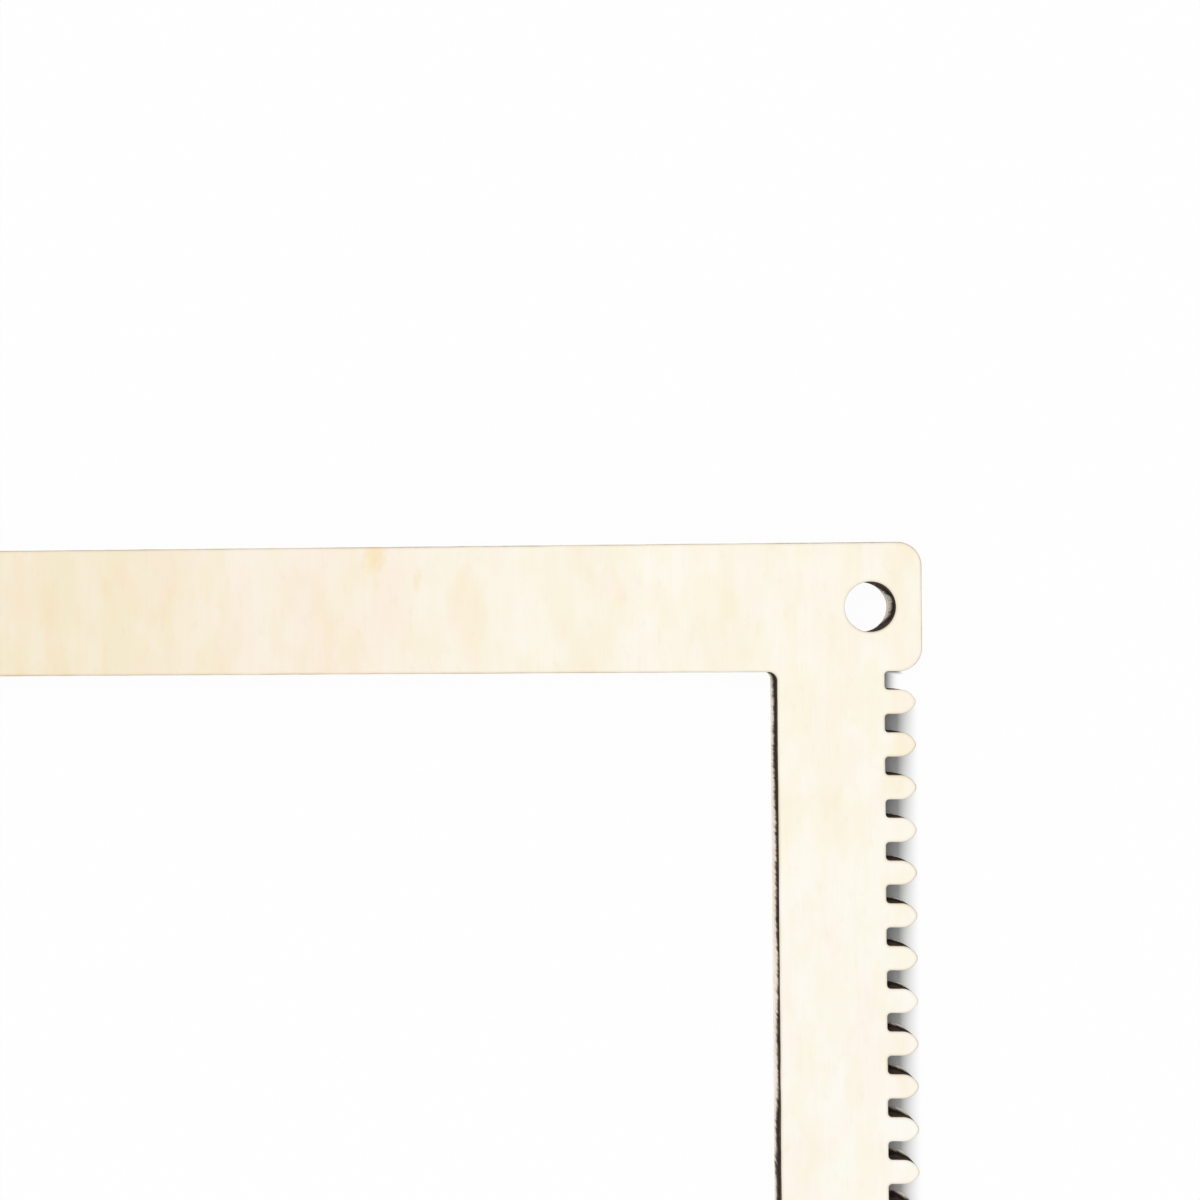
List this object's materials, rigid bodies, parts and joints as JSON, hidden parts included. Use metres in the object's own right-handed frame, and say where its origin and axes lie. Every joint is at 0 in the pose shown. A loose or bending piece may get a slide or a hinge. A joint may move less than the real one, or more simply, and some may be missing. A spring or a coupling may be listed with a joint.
{
  "type": "potholder loom",
  "caption": "Flat square plywood loom frame with an open middle, blunt arched teeth along the outer edges of two sides and a round hole in each corner block, for weaving potholders from loops.",
  "frame": {"origin": "centre of the frame's outline on the back face, which lies on the table", "axes": "+Z out of the front face, +Y along the toothed side rails towards the end rail that is at the top of the picture, +X across the window to the right"},
  "size_m": [0.1926, 0.1924, 0.003],
  "materials": {
    "back_veneer": "sanded pale face veneer, not varnished, scorched along the cut edges",
    "glue_line_back": "cured glue, darkened by the laser",
    "core_veneer": "raw core veneer with charred cut edges",
    "glue_line_front": "cured glue, darkened by the laser",
    "front_veneer": "sanded pale face veneer, not varnished, scorched along the cut edges"
  },
  "bodies": {
    "root": {"back_veneer": "back_veneer", "glue_line_back": "glue_line_back", "core_veneer": "core_veneer", "glue_line_front": "glue_line_front", "front_veneer": "front_veneer"}
  },
  "joints": []
}
